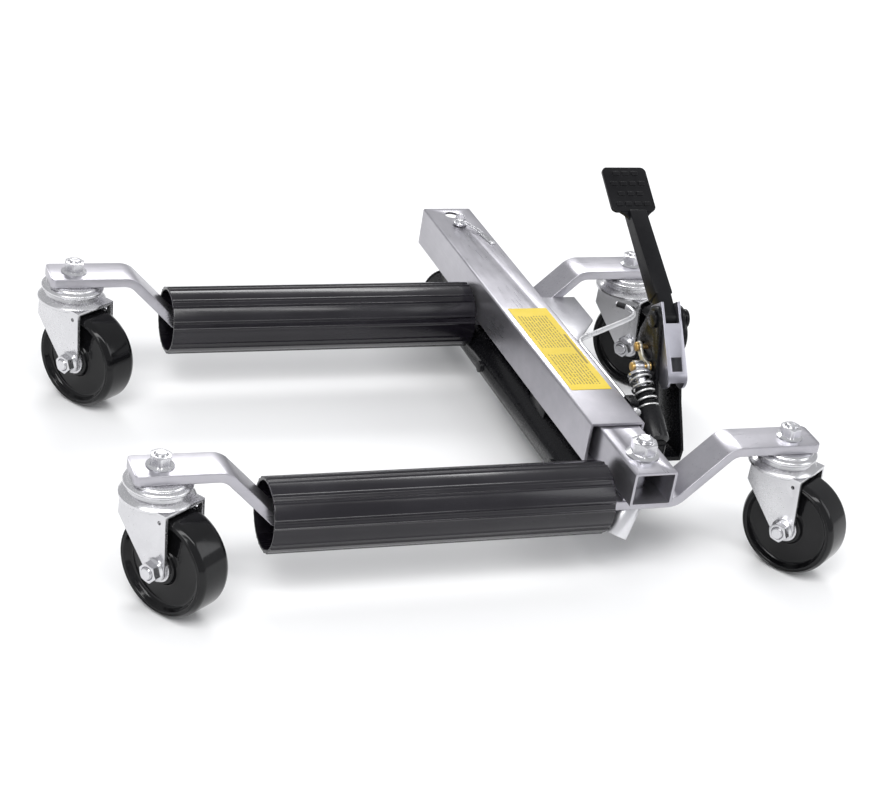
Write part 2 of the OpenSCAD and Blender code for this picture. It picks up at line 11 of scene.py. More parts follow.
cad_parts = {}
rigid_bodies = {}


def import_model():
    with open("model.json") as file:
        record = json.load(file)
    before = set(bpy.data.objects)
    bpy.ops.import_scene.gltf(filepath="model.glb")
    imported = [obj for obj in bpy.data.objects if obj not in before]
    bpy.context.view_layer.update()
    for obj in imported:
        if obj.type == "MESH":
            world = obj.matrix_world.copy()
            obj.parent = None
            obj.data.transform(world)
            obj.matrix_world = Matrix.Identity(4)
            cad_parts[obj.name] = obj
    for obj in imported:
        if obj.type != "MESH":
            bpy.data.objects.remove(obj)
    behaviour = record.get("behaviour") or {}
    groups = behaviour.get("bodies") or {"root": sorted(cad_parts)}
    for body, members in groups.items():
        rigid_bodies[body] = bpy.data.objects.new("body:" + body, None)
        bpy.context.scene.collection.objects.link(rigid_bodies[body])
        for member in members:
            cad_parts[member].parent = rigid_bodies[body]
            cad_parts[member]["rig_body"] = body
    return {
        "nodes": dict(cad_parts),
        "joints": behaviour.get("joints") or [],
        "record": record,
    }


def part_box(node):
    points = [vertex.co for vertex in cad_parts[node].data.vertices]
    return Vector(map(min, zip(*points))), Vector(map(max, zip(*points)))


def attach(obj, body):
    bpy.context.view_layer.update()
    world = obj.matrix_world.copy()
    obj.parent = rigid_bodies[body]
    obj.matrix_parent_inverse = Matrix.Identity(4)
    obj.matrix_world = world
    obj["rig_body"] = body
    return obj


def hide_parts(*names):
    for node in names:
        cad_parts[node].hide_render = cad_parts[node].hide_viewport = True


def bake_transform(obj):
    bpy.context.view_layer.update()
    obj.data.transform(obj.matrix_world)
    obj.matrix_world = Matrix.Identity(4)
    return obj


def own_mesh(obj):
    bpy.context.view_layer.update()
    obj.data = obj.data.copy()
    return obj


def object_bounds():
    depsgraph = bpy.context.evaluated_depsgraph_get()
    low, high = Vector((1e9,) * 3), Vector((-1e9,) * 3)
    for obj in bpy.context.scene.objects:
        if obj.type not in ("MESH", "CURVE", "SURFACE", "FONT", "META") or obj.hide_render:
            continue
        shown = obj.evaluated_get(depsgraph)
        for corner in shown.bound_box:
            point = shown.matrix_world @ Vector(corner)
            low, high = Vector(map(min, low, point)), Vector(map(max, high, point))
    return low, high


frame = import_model()
CAD_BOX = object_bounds()
MM = 0.001
TAU = 2 * math.pi

# ---------------------------------------------------------------- places read from the frame

_tube_lo, _tube_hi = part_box("inner_tube")
_roll_lo, _roll_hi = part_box("near_roller")
ORIGIN = Vector(((_tube_lo.x + _tube_hi.x) / 2, (_roll_lo.y + _roll_hi.y) / 2, 0.0))


def at(x, y, z):
    """A point in working millimetres, as metres in the row frame."""
    return ORIGIN + Vector((x, y, z)) * MM


def span(node):
    """Lowest and highest corner of a CAD node, in working millimetres."""
    low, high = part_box(node)
    return (low - ORIGIN) / MM, (high - ORIGIN) / MM


def middle(node):
    low, high = span(node)
    return (low + high) / 2


def body_of(node):
    return frame["nodes"][node]["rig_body"]


SLOTS = {row["node"]: row["material_slot"] for row in frame["record"]["subparts"]}
JOINTS = {row["name"]: row for row in frame["joints"]}


# ---------------------------------------------------------------- materials


class Shader:
    """Small helper for building a node material."""

    def __init__(self, name):
        self.material = bpy.data.materials.new(name)
        self.material.use_nodes = True
        self.tree = self.material.node_tree
        self.tree.nodes.clear()
        self.surface = self.tree.nodes.new("ShaderNodeBsdfPrincipled")
        output = self.tree.nodes.new("ShaderNodeOutputMaterial")
        self.tree.links.new(self.surface.outputs[0], output.inputs[0])
        self.place = self.tree.nodes.new("ShaderNodeTexCoord").outputs["Object"]

    def node(self, kind, **values):
        made = self.tree.nodes.new(kind)
        for key, value in values.items():
            if key in made.inputs:
                made.inputs[key].default_value = value
            else:
                setattr(made, key, value)
        return made

    def link(self, a, b):
        self.tree.links.new(a, b)

    def mapped(self, scale):
        """Object coordinates, stretched."""
        step = self.node("ShaderNodeMapping")
        step.inputs["Scale"].default_value = scale
        self.link(self.place, step.inputs["Vector"])
        return step.outputs["Vector"]

    def noise(self, scale, stretch=(1, 1, 1), detail=4.0, rough=0.55):
        step = self.node("ShaderNodeTexNoise", Scale=scale, Detail=detail, Roughness=rough)
        self.link(self.mapped(stretch), step.inputs["Vector"])
        return step.outputs["Fac"]

    def ramp(self, source, *stops):
        """Colour ramp with (place, colour) stops."""
        step = self.node("ShaderNodeValToRGB")
        while len(step.color_ramp.elements) < len(stops):
            step.color_ramp.elements.new(0.5)
        for element, (place, colour) in zip(step.color_ramp.elements, stops):
            element.position = place
            element.color = (*colour, 1)
        self.link(source, step.inputs["Fac"])
        return step.outputs["Color"]

    def between(self, source, low, high, start=0.3, end=0.7):
        """A number that runs from low to high as source goes from start to end."""
        step = self.node("ShaderNodeMapRange")
        for key, value in (("From Min", start), ("From Max", end), ("To Min", low), ("To Max", high)):
            step.inputs[key].default_value = value
        self.link(source, step.inputs["Value"])
        return step.outputs["Result"]

    def math(self, operation, a, b=0.0):
        step = self.node("ShaderNodeMath", operation=operation)
        for socket, value in zip(step.inputs, (a, b)):
            if isinstance(value, (int, float)):
                socket.default_value = value
            else:
                self.link(value, socket)
        return step.outputs[0]

    def mix(self, amount, a, b):
        step = self.node("ShaderNodeMix", data_type="RGBA")
        self.link(amount, step.inputs["Factor"])
        for socket, value in ((step.inputs[6], a), (step.inputs[7], b)):
            if isinstance(value, tuple):
                socket.default_value = (*value, 1)
            else:
                self.link(value, socket)
        return step.outputs[2]

    def colour(self, source):
        self.link(source, self.surface.inputs["Base Color"])

    def roughness(self, source):
        self.link(source, self.surface.inputs["Roughness"])

    def bump(self, source, depth_mm, strength=1.0):
        step = self.node("ShaderNodeBump", Strength=strength, Distance=depth_mm * MM)
        earlier = self.surface.inputs["Normal"].links
        if earlier:
            self.link(earlier[0].from_socket, step.inputs["Normal"])
        self.link(source, step.inputs["Height"])
        self.link(step.outputs["Normal"], self.surface.inputs["Normal"])

    def fixed(self, **values):
        """Values that are the same all over, set on the shader's own sockets."""
        for key, value in values.items():
            self.surface.inputs[key.replace("_", " ")].default_value = value


def plated(name, dark, pale, rough, drawn=(1, 1, 1), metal=0.92, scratches=0.5, lumps=0.4):
    """Zinc or steel: soft patches of two tones, drawing lines along one direction, fine scratches."""
    s = Shader(name)
    patches = s.noise(9.0, detail=3.0)
    cloud = s.noise(60.0, detail=5.0, rough=0.6)
    tone = s.math("ADD", s.math("MULTIPLY", patches, 0.65), s.math("MULTIPLY", cloud, 0.35))
    lines = s.noise(420.0, stretch=drawn, detail=6.0, rough=0.7)
    base = s.ramp(tone, (0.25, dark), (0.75, pale))
    bare = tuple(min(1.0, c * 1.18) for c in pale)
    worn = s.mix(s.between(lines, 0.0, 0.44 * scratches, 0.55, 0.8), base, bare)
    s.colour(worn)
    rub = s.math("ADD", s.between(patches, rough * 0.82, rough * 1.15), s.between(lines, -0.04, 0.07))
    s.roughness(rub)
    s.bump(lines, 0.03, scratches)
    s.bump(cloud, 0.03, 0.25 * lumps)
    s.fixed(Metallic=metal)
    return s.material


def coated(name, colour, rough, grain_scale, grain_mm, coat=0.0, dust=0.05, drawn=(1, 1, 1), shine=0.3):
    """Black paint or moulded plastic: fine grain, faint dust, rubbed streaks."""
    s = Shader(name)
    patches = s.noise(14.0, detail=4.0)
    grain = s.noise(grain_scale, detail=3.0)
    streak = s.noise(240.0, stretch=drawn, detail=6.0, rough=0.72)
    greyer = tuple(c + dust for c in colour)
    base = s.ramp(patches, (0.35, colour), (0.75, tuple(c * 1.35 + 0.004 for c in colour)))
    s.colour(s.mix(s.between(streak, 0.0, 0.5, 0.6, 0.82), base, greyer))
    s.roughness(s.math("ADD", s.between(patches, rough * 0.85, rough * 1.2), s.between(streak, -0.03, 0.09)))
    s.bump(grain, grain_mm, 0.6)
    s.fixed(Coat_Weight=coat, Coat_Roughness=0.08, Specular_IOR_Level=shine)
    return s.material


def label_film(name):
    """Yellow film with two columns of plain dashes and a heading bar: blocks only, nothing to read."""
    s = Shader(name)
    low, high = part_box("label_plate")
    size = high - low
    shift = s.node("ShaderNodeMapping", vector_type="TEXTURE")
    shift.inputs["Location"].default_value = low
    shift.inputs["Scale"].default_value = (size.x, size.y, 1)
    s.link(s.place, shift.inputs["Vector"])
    parts = s.node("ShaderNodeSeparateXYZ")
    s.link(shift.outputs["Vector"], parts.inputs[0])
    across, along = parts.outputs["X"], parts.outputs["Y"]

    def inside(source, start, end):
        return s.math("MULTIPLY", s.math("GREATER_THAN", source, start), s.math("LESS_THAN", source, end))

    rows = s.math("FRACT", s.math("MULTIPLY", across, 13.0))
    row_band = s.math("MULTIPLY", s.math("GREATER_THAN", rows, 0.3), s.math("LESS_THAN", rows, 0.72))
    dash = s.node("ShaderNodeTexNoise", Scale=1.0, Detail=1.0)
    steps = s.node("ShaderNodeCombineXYZ")
    s.link(s.math("FLOOR", s.math("MULTIPLY", across, 13.0)), steps.inputs["X"])
    s.link(s.math("MULTIPLY", along, 62.0), steps.inputs["Y"])
    s.link(steps.outputs[0], dash.inputs["Vector"])
    dashes = s.math("GREATER_THAN", dash.outputs["Fac"], 0.44)
    columns = s.math("MAXIMUM", inside(along, 0.06, 0.42), inside(along, 0.50, 0.90))
    block = s.math("MULTIPLY", columns, inside(across, 0.10, 0.84))
    printed = s.math("MULTIPLY", s.math("MULTIPLY", row_band, dashes), block)
    heading = s.math("MULTIPLY", inside(across, 0.88, 0.94), inside(along, 0.30, 0.66))
    ink = s.math("MULTIPLY", s.math("MAXIMUM", printed, heading), 0.72)
    film = s.ramp(s.noise(16.0), (0.3, (0.66, 0.49, 0.02)), (0.7, (0.76, 0.57, 0.04)))
    s.colour(s.mix(ink, film, (0.12, 0.09, 0.02)))
    s.roughness(s.between(s.noise(120.0), 0.34, 0.5))
    s.bump(s.noise(35.0), 0.12, 0.3)
    s.fixed(Coat_Weight=0.1, Coat_Roughness=0.2, Specular_IOR_Level=0.3)
    return s.material


ALONG_X = (0.06, 1, 1)
ALONG_Y = (1, 0.06, 1)
MATERIALS = {
    "tube_zinc": plated("tube_zinc", (0.35, 0.343, 0.375), (0.50, 0.49, 0.525), 0.33, ALONG_Y),
    "bar_zinc": plated("bar_zinc", (0.37, 0.363, 0.395), (0.51, 0.50, 0.535), 0.31, ALONG_X),
    "roller_black": coated("roller_black", (0.006, 0.005, 0.008), 0.2, 900.0, 0.02, 0.08, 0.006,
                           (0.03, 1, 1), 0.42),
    "bush_nylon": coated("bush_nylon", (0.03, 0.03, 0.033), 0.5, 700.0, 0.03),
    "fastener_zinc": plated("fastener_zinc", (0.54, 0.54, 0.56), (0.72, 0.72, 0.74), 0.22,
                            scratches=0.08, lumps=0.1),
    "socket_zinc": plated("socket_zinc", (0.62, 0.62, 0.65), (0.80, 0.80, 0.82), 0.30),
    "caster_zinc": plated("caster_zinc", (0.56, 0.558, 0.575), (0.72, 0.718, 0.735), 0.24,
                          scratches=0.04, lumps=0.05),
    "wheel_black": coated("wheel_black", (0.003, 0.003, 0.0035), 0.09, 500.0, 0.008, 0.12, 0.003,
                          shine=0.22),
    "ram_black": coated("ram_black", (0.004, 0.004, 0.005), 0.24, 320.0, 0.04, 0.04, 0.008, shine=0.2),
    "rod_chrome": plated("rod_chrome", (0.70, 0.70, 0.72), (0.82, 0.82, 0.84), 0.12, metal=1.0,
                         scratches=0.15),
    "piston_steel": plated("piston_steel", (0.42, 0.42, 0.44), (0.56, 0.56, 0.58), 0.35),
    "plunger_chrome": plated("plunger_chrome", (0.50, 0.50, 0.53), (0.68, 0.68, 0.70), 0.2, scratches=0.2),
    "spring_steel": plated("spring_steel", (0.62, 0.62, 0.62), (0.80, 0.80, 0.79), 0.26, scratches=0.3),
    "pedal_black": coated("pedal_black", (0.003, 0.003, 0.004), 0.28, 650.0, 0.05, 0.0, 0.006, shine=0.2),
    "socket_plate": plated("socket_plate", (0.28, 0.278, 0.315), (0.42, 0.415, 0.46), 0.34, (1, 1, 0.08)),
    "link_zinc": plated("link_zinc", (0.66, 0.64, 0.58), (0.82, 0.80, 0.73), 0.34),
    "pin_brass": plated("pin_brass", (0.58, 0.36, 0.12), (0.80, 0.56, 0.24), 0.28, scratches=0.3),
    "release_zinc": plated("release_zinc", (0.56, 0.56, 0.58), (0.74, 0.74, 0.75), 0.28),
    "gusset_zinc": plated("gusset_zinc", (0.44, 0.438, 0.465), (0.60, 0.597, 0.625), 0.31),
    "label_yellow": label_film("label_yellow"),
    "hitch_zinc": plated("hitch_zinc", (0.58, 0.58, 0.60), (0.76, 0.76, 0.78), 0.26, scratches=0.3),
}
INK = coated("tip_black", (0.012, 0.012, 0.013), 0.45, 500.0, 0.03)


# ---------------------------------------------------------------- mesh helpers


def piece(name, bm, slot, body, replaced=(), material=None, sharp=32):
    """A finished object from bm: smooth up to an angle, with the slot's material and its body."""
    bmesh.ops.remove_doubles(bm, verts=bm.verts, dist=1e-7)
    bmesh.ops.recalc_face_normals(bm, faces=bm.faces)
    mesh = bpy.data.meshes.new(name)
    bm.to_mesh(mesh)
    bm.free()
    mesh.shade_smooth()
    mesh.set_sharp_from_angle(angle=math.radians(sharp))
    obj = bpy.data.objects.new(name, mesh)
    bpy.context.scene.collection.objects.link(obj)
    mesh.materials.append(material or MATERIALS[slot])
    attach(obj, body)
    if replaced:
        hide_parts(*replaced)
    return obj


def refined(node, bevel=0.5, steps=2, angle=28, name=None):
    """A CAD node's own shape with its edges rounded over, standing in for the node."""
    bm = bmesh.new()
    bm.from_mesh(frame["nodes"][node].data)
    bmesh.ops.remove_doubles(bm, verts=bm.verts, dist=2e-6)
    bmesh.ops.dissolve_limit(bm, angle_limit=math.radians(0.6), verts=bm.verts, edges=bm.edges)
    edges = [e for e in bm.edges if len(e.link_faces) == 2 and e.calc_face_angle() > math.radians(angle)]
    bmesh.ops.bevel(bm, geom=edges, offset=bevel * MM, segments=steps, profile=0.5, affect="EDGES",
                    clamp_overlap=True)
    slot = SLOTS[node]
    return piece(name or node + "_finished", bm, slot, body_of(node), [node])


def rounded(points, steps=4):
    """An outline whose corners with a third value are rounded by that radius."""
    out = []
    count = len(points)
    for i, point in enumerate(points):
        corner = Vector(point[:2])
        radius = point[2] if len(point) > 2 else 0
        back = Vector(points[i - 1][:2]) - corner
        ahead = Vector(points[(i + 1) % count][:2]) - corner
        if not radius or back.length < 1e-9 or ahead.length < 1e-9:
            out.append(tuple(corner))
            continue
        reach = min(radius, back.length * 0.45, ahead.length * 0.45)
        start, end = corner + back.normalized() * reach, corner + ahead.normalized() * reach
        for k in range(steps + 1):
            t = k / steps
            out.append(tuple(start * (1 - t) ** 2 + corner * 2 * t * (1 - t) + end * t ** 2))
    return out


def lathe(bm, profile, origin, axis, steps=96, start=None):
    """Turns a closed outline of (along, radius) round an axis. profile may be a function of the angle."""
    axis = Vector(axis).normalized()
    side = (start or axis.orthogonal()).normalized()
    other = axis.cross(side)
    rings = []
    for i in range(steps):
        turn = TAU * i / steps
        out = side * math.cos(turn) + other * math.sin(turn)
        outline = profile(turn) if callable(profile) else profile
        rings.append([bm.verts.new(origin + (axis * s + out * r) * MM) for s, r in outline])
    count = len(rings[0])
    for i in range(steps):
        a, b = rings[i], rings[(i + 1) % steps]
        for k in range(count):
            bm.faces.new((a[k], b[k], b[(k + 1) % count], a[(k + 1) % count]))


def turned(name, profile, origin, axis, slot, body, replaced=(), steps=96, sharp=32):
    bm = bmesh.new()
    lathe(bm, profile, origin, axis, steps)
    return piece(name, bm, slot, body, replaced, sharp=sharp)


def sweep(bm, path, section, up=Vector((0, 0, 1)), closed=False, scales=None):
    """Carries a section of (side, up) millimetres along a path of points in metres."""
    rings = []
    count = len(path)
    normal = Vector(up)
    for i, point in enumerate(path):
        before = path[(i - 1) % count] if closed or i else path[0]
        after = path[(i + 1) % count] if closed or i < count - 1 else path[-1]
        along = (after - before).normalized()
        normal = (normal - along * normal.dot(along)).normalized()
        side = along.cross(normal)
        grow = scales[i] if scales else 1.0
        rings.append([bm.verts.new(point + (side * a + normal * b) * MM * grow) for a, b in section])
    pairs = zip(rings, rings[1:] + rings[:1]) if closed else zip(rings, rings[1:])
    size = len(section)
    for a, b in pairs:
        for k in range(size):
            bm.faces.new((a[k], a[(k + 1) % size], b[(k + 1) % size], b[k]))
    if not closed:
        bm.faces.new(rings[0])
        bm.faces.new(list(reversed(rings[-1])))


def ring_section(radius, sides=16):
    return [(radius * math.cos(TAU * k / sides), radius * math.sin(TAU * k / sides)) for k in range(sides)]


def smooth_path(points, steps=8):
    """A smooth curve through points (Catmull-Rom)."""
    out = []
    padded = [points[0] * 2 - points[1], *points, points[-1] * 2 - points[-2]]
    for a, b, c, d in zip(padded, padded[1:], padded[2:], padded[3:]):
        for k in range(steps):
            t = k / steps
            out.append(0.5 * ((2 * b) + (c - a) * t + (2 * a - 5 * b + 4 * c - d) * t * t
                              + (3 * b - a - 3 * c + d) * t ** 3))
    out.append(points[-1])
    return out


def hex_radius(turn, flats):
    """Distance from a hexagon's centre to its edge at an angle."""
    part = (turn + TAU / 12) % (TAU / 6) - TAU / 12
    return flats / 2 / math.cos(part)


def flange_nut(bm, origin, axis, flats, height, flange, bore, washer=2.6):
    """A hexagon nut with a sloped washer face and the curved chamfer that turning leaves on its corners."""
    top_r = flats / 2 * 0.96

    def profile(turn):
        corner = hex_radius(turn, flats)
        shoulder = height - (corner - top_r) * 0.5
        return [(0, bore), (0, flange), (washer * 0.35, flange), (washer, max(corner, flange - 3.2)),
                (washer + 0.3, corner), (shoulder, corner), (height, top_r),
                (height, bore + 1.0), (height - 1.0, bore)]

    lathe(bm, profile, origin, axis, 120)


def threaded_end(bm, origin, axis, radius, length, pitch=1.5, depth=0.55):
    """The end of a bolt: a helical thread closed by a chamfered, slightly hollow face."""
    rows = max(8, int(length / pitch * 6))

    def profile(turn):
        out = [(0, 0), (0, radius - depth)]
        for k in range(1, rows):
            s = length * k / rows
            phase = (s / pitch - turn / TAU) % 1.0
            crest = 1 - abs(2 * phase - 1)
            taper = min(1.0, (length - s) / 1.6)
            out.append((s, radius - depth + depth * crest * taper))
        out += [(length, radius - depth - 0.5), (length, radius * 0.45), (length - 0.4, 0)]
        return out

    lathe(bm, profile, origin, axis, 48)


def weld(name, points, radius, body, slot="tube_zinc"):
    """A weld bead along points in working millimetres, with its row of ripples."""
    path = []
    for a, b in zip(points, points[1:]):
        a, b = at(*a), at(*b)
        count = max(4, int((b - a).length / MM / 0.8))
        path += [a.lerp(b, k / count) for k in range(count)]
    path.append(at(*points[-1]))
    scales = [1 + 0.16 * math.sin(i * 1.75) + 0.05 * math.sin(i * 0.61) for i in range(len(path))]
    scales[0] = scales[-1] = 0.4
    bm = bmesh.new()
    sweep(bm, path, ring_section(radius, 10), up=Vector((0.02, 0.03, 1)), scales=scales)
    return piece(name, bm, slot, body, sharp=60)


# ---------------------------------------------------------------- camera, floor, light


def camera():
    """Long lens from the tyre side, level lost a little to the left as a hand-held picture is."""
    yaw, pitch, roll = math.radians(23.95), math.radians(27.7), math.radians(9.57)
    ahead = Vector((math.sin(yaw) * math.cos(pitch), math.cos(yaw) * math.cos(pitch), -math.sin(pitch)))
    right = Vector((math.cos(yaw), -math.sin(yaw), 0))
    up = right.cross(ahead)
    turned_right = right * math.cos(roll) + up * math.sin(roll)
    turned_up = up * math.cos(roll) - right * math.sin(roll)
    data = bpy.data.cameras.new("camera")
    data.lens = 90.5
    obj = bpy.data.objects.new("camera", data)
    bpy.context.scene.collection.objects.link(obj)
    turn = Matrix((turned_right, turned_up, -ahead)).transposed()
    obj.matrix_world = Matrix.Translation(at(-971, -1670, 1159)) @ turn.to_4x4()
    bpy.context.scene.camera = obj


def area_light(name, place, target, size, power, colour=(1, 1, 1)):
    data = bpy.data.lights.new(name, "AREA")
    data.shape = "RECTANGLE"
    data.size, data.size_y = size
    data.energy = power
    data.color = colour
    obj = bpy.data.objects.new(name, data)
    bpy.context.scene.collection.objects.link(obj)
    obj.location = place
    obj.rotation_euler = (Vector(target) - Vector(place)).to_track_quat("-Z", "Y").to_euler()


def studio():
    bm = bmesh.new()
    bmesh.ops.create_grid(bm, x_segments=8, y_segments=8, size=30.0)
    mesh = bpy.data.meshes.new("floor")
    bm.to_mesh(mesh)
    bm.free()
    floor = bpy.data.objects.new("floor", mesh)
    bpy.context.scene.collection.objects.link(floor)
    floor.location.z = CAD_BOX[0].z - 0.0002
    s = Shader("floor_pale")
    s.colour(s.ramp(s.noise(1.5), (0.3, (0.90, 0.90, 0.905)), (0.7, (0.93, 0.93, 0.93))))
    s.fixed(Roughness=0.7, Specular_IOR_Level=0.2)
    mesh.materials.append(s.material)
    world = bpy.data.worlds.new("studio")
    world.use_nodes = True
    sky = world.node_tree.nodes["Background"]
    sky.inputs["Color"].default_value = (0.93, 0.94, 0.96, 1)
    sky.inputs["Strength"].default_value = 0.62
    bpy.context.scene.world = world
    area_light("key", (-1.6, -1.9, 2.6), (0, 0, 0.1), (1.6, 1.2), 40)
    area_light("fill", (2.2, -1.2, 1.6), (0, 0, 0.1), (1.4, 1.4), 14, (0.97, 0.98, 1.0))
    area_light("strip", (-0.3, -1.1, 2.2), (0, 0, 0.1), (2.6, 0.3), 20)
    area_light("back", (0.6, 2.4, 2.2), (0, 0, 0.1), (2.2, 0.7), 40)


# ---------------------------------------------------------------- arms and rollers

BAR_T = 10
BAR_BEND = 20
BAR_ROUND = 1.1
BEND_INSIDE = 18


def bar_path(node):
    """Centre line of a cranked flat bar, from plate to plate."""
    low, high = span(node)
    high_z, low_z = high.z - BAR_T / 2, low.z + BAR_T / 2
    rise = high_z - low_z
    slope = rise + 2 * BAR_BEND * (1 / math.cos(TAU / 8) - 1)
    inner_left = span("near_roller")[0].x + BEND_INSIDE
    inner_right = -span("outer_tube")[0].x - 3
    bends = [(inner_left - slope, high_z - BAR_BEND, 90, 45), (inner_left, low_z + BAR_BEND, 225, 270),
             (inner_right, low_z + BAR_BEND, 270, 315), (inner_right + slope, high_z - BAR_BEND, 135, 90)]
    points = [(low.x, high_z)]
    for x, z, first, last in bends:
        for k in range(17):
            turn = math.radians(first + (last - first) * k / 16)
            points.append((x + BAR_BEND * math.cos(turn), z + BAR_BEND * math.sin(turn)))
    points.append((high.x, high_z))
    return points


def flat_bar(node):
    low, high = span(node)
    y = (low.y + high.y) / 2
    half_w, half_t = (high.y - low.y) / 2, BAR_T / 2
    section = rounded([(-half_w, -half_t, BAR_ROUND), (half_w, -half_t, BAR_ROUND),
                       (half_w, half_t, BAR_ROUND), (-half_w, half_t, BAR_ROUND)], 3)
    points = bar_path(node)
    (x0, z0), (x1, z1) = points[0], points[-1]
    # The end corners are rounded off by narrowing the last few sections.
    corner = 5.0
    starts, ends = [], []
    for k in range(7):
        t = math.sin(TAU / 4 * k / 6)
        inset = corner * (1 - t)
        narrow = corner * (1 - math.sqrt(max(0.0, 1 - (1 - t) ** 2)))
        starts.append((x0 + corner - inset, narrow))
        ends.append((x1 - corner + inset, narrow))
    bm = bmesh.new()
    rings = []

    def ring(x, z, slope_turn, narrow):
        side = Vector((0, 1, 0))
        normal = Vector((-math.sin(slope_turn), 0, math.cos(slope_turn)))
        scale = (half_w - narrow) / half_w
        rings.append([bm.verts.new(at(x, y, z) + (side * a * scale + normal * b) * MM) for a, b in section])

    for x, narrow in starts:
        ring(x, z0, 0, narrow)
    inner = points[1:-1]
    for i, (x, z) in enumerate(inner):
        before, after = inner[max(i - 1, 0)], inner[min(i + 1, len(inner) - 1)]
        turn = 0 if i in (0, len(inner) - 1) else math.atan2(after[1] - before[1], after[0] - before[0])
        ring(x, z, turn, 0)
    for x, narrow in reversed(ends):
        ring(x, z1, 0, narrow)
    size = len(section)
    for a, b in zip(rings, rings[1:]):
        for k in range(size):
            bm.faces.new((a[k], a[(k + 1) % size], b[(k + 1) % size], b[k]))
    bm.faces.new(rings[0])
    bm.faces.new(list(reversed(rings[-1])))
    piece(node + "_bar", bm, SLOTS[node], body_of(node), [node], sharp=40)


def roller(node):
    """Extruded roller: bands between raised double ribs, rounded end lips, a smooth bore."""
    low, high = span(node)
    centre = (low + high) / 2
    outer = (high.z - low.z) / 2
    bore = outer - 4
    length = high.x - low.x
    groups = 9
    rib_half, rib_w, rise = 0.105, 0.034, 1.0

    def rib(turn):
        near = (turn + TAU / groups / 2) % (TAU / groups) - TAU / groups / 2
        bump = max(math.exp(-((abs(near) - rib_half) / rib_w) ** 2 * 2.2), 0)
        valley = 0.35 if abs(near) < rib_half else 0.0
        return rise * bump - valley * (1 - bump)

    def profile(turn):
        r = outer - rise + rib(turn)
        return [(0, bore + 0.6), (0, r - 1.0), (0.3, r - 0.35), (1.1, r), (length - 1.1, r),
                (length - 0.3, r - 0.35), (length, r - 1.0), (length, bore + 0.6), (length - 0.6, bore),
                (0.6, bore)]

    bm = bmesh.new()
    lathe(bm, profile, at(low.x, centre.y, centre.z), (1, 0, 0), 360)
    piece(node + "_sleeve", bm, SLOTS[node], body_of(node), [node], sharp=38)


def arms():
    for node in ("near_arm", "far_arm"):
        flat_bar(node)
    for node in ("near_roller", "far_roller"):
        roller(node)
    refined("near_bushes", 0.8)
    refined("far_bushes", 0.8)
    refined("near_spacer", 0.6)
    refined("arm_socket", 0.7)


# ---------------------------------------------------------------- beam


def beam():
    refined("outer_tube", 0.5)
    refined("inner_tube", 0.5)
    refined("gusset", 0.6)
    refined("label_plate", 0.12, 1)
    outer_lo, outer_hi = span("outer_tube")
    arm_lo, arm_hi = span("far_arm")
    gusset_lo, gusset_hi = span("gusset")
    under = outer_lo.z
    for name, y in (("near_side", arm_lo.y), ("far_side", arm_hi.y)):
        weld("weld_beam_" + name, [(outer_lo.x + 3, y, under), (outer_hi.x - 3, y, under)], 2.2, "frame")
    seam = [(outer_hi.x, y, gusset_hi.z) for y in (gusset_lo.y + 4, gusset_hi.y)]
    weld("weld_gusset_beam", seam, 1.8, "frame", "gusset_zinc")
    spacer_lo, spacer_hi = span("near_spacer")
    for name, x in (("left", spacer_lo.x), ("right", spacer_hi.x)):
        weld("weld_spacer_" + name, [(x, spacer_lo.y, spacer_lo.z + 1), (x, spacer_hi.y, spacer_lo.z + 1)],
             1.8, "carriage", "bar_zinc")
    arm_stud()


def arm_stud():
    """Stud through the inner tube and the near arm, with its big flange nut."""
    low, high = span("arm_stud")
    nut_lo, nut_hi = span("arm_nut")
    radius = (high.x - low.x) / 2
    x, y = (low.x + high.x) / 2, (low.y + high.y) / 2
    bm = bmesh.new()
    shank = nut_hi.z - 4 - low.z
    outline = rounded([(0, 0), (0, radius, 0.8), (shank, radius), (shank, 0)])
    lathe(bm, outline, at(x, y, low.z), (0, 0, 1), 64)
    thread = high.z - low.z - shank + 0.5
    threaded_end(bm, at(x, y, low.z + shank - 0.5), (0, 0, 1), radius, thread, 2.0, 0.7)
    piece("arm_stud_bolt", bm, SLOTS["arm_stud"], body_of("arm_stud"), ["arm_stud"])
    bm = bmesh.new()
    flange = (nut_hi.x - nut_lo.x) / 2
    flange_nut(bm, at(x, y, nut_lo.z), (0, 0, 1), 24, nut_hi.z - nut_lo.z, flange, radius + 0.05, 3.0)
    piece("arm_nut_flanged", bm, SLOTS["arm_nut"], body_of("arm_nut"), ["arm_nut"])


# ---------------------------------------------------------------- casters

CORNERS = ("nl", "nr", "fl", "fr")
WHEEL_HALF = 20
HUB_HALF = WHEEL_HALF + 2.5
LEG_OUT = WHEEL_HALF + 6.5


def caster_axis(corner):
    return Vector(JOINTS["roll_" + corner]["axis"]).normalized()


def wheel(corner):
    """Moulded wheel: rounded tread shoulders, raised rim lip, dished web, hub boss with ribs."""
    node = "wheel_" + corner
    low, high = span(node)
    centre = at(*((low + high) / 2))
    radius = (high.z - low.z) / 2
    half = WHEEL_HALF
    side = [(-half, 10.05), (-half, 16.9, 1.2), (-half + 5.2, 18.6, 2.5),
            (-half + 7.2, radius - 10.4, 3.0), (-half + 0.7, radius - 7.2, 1.6),
            (-half + 0.2, radius - 5.8, 0.6), (-half + 1.1, radius - 4.8, 0.6),
            (-half + 0.2, radius - 3.8, 0.7), (-half + 0.6, radius - 3.0, 1.0),
            (-half + 5.2, radius - 0.05, 3.4)]
    other = [(-s, *rest) for s, *rest in reversed(side)]
    turned(node + "_moulding", rounded(side + other, 5), centre, caster_axis(corner), SLOTS[node],
           body_of(node), [node], 128, sharp=50)


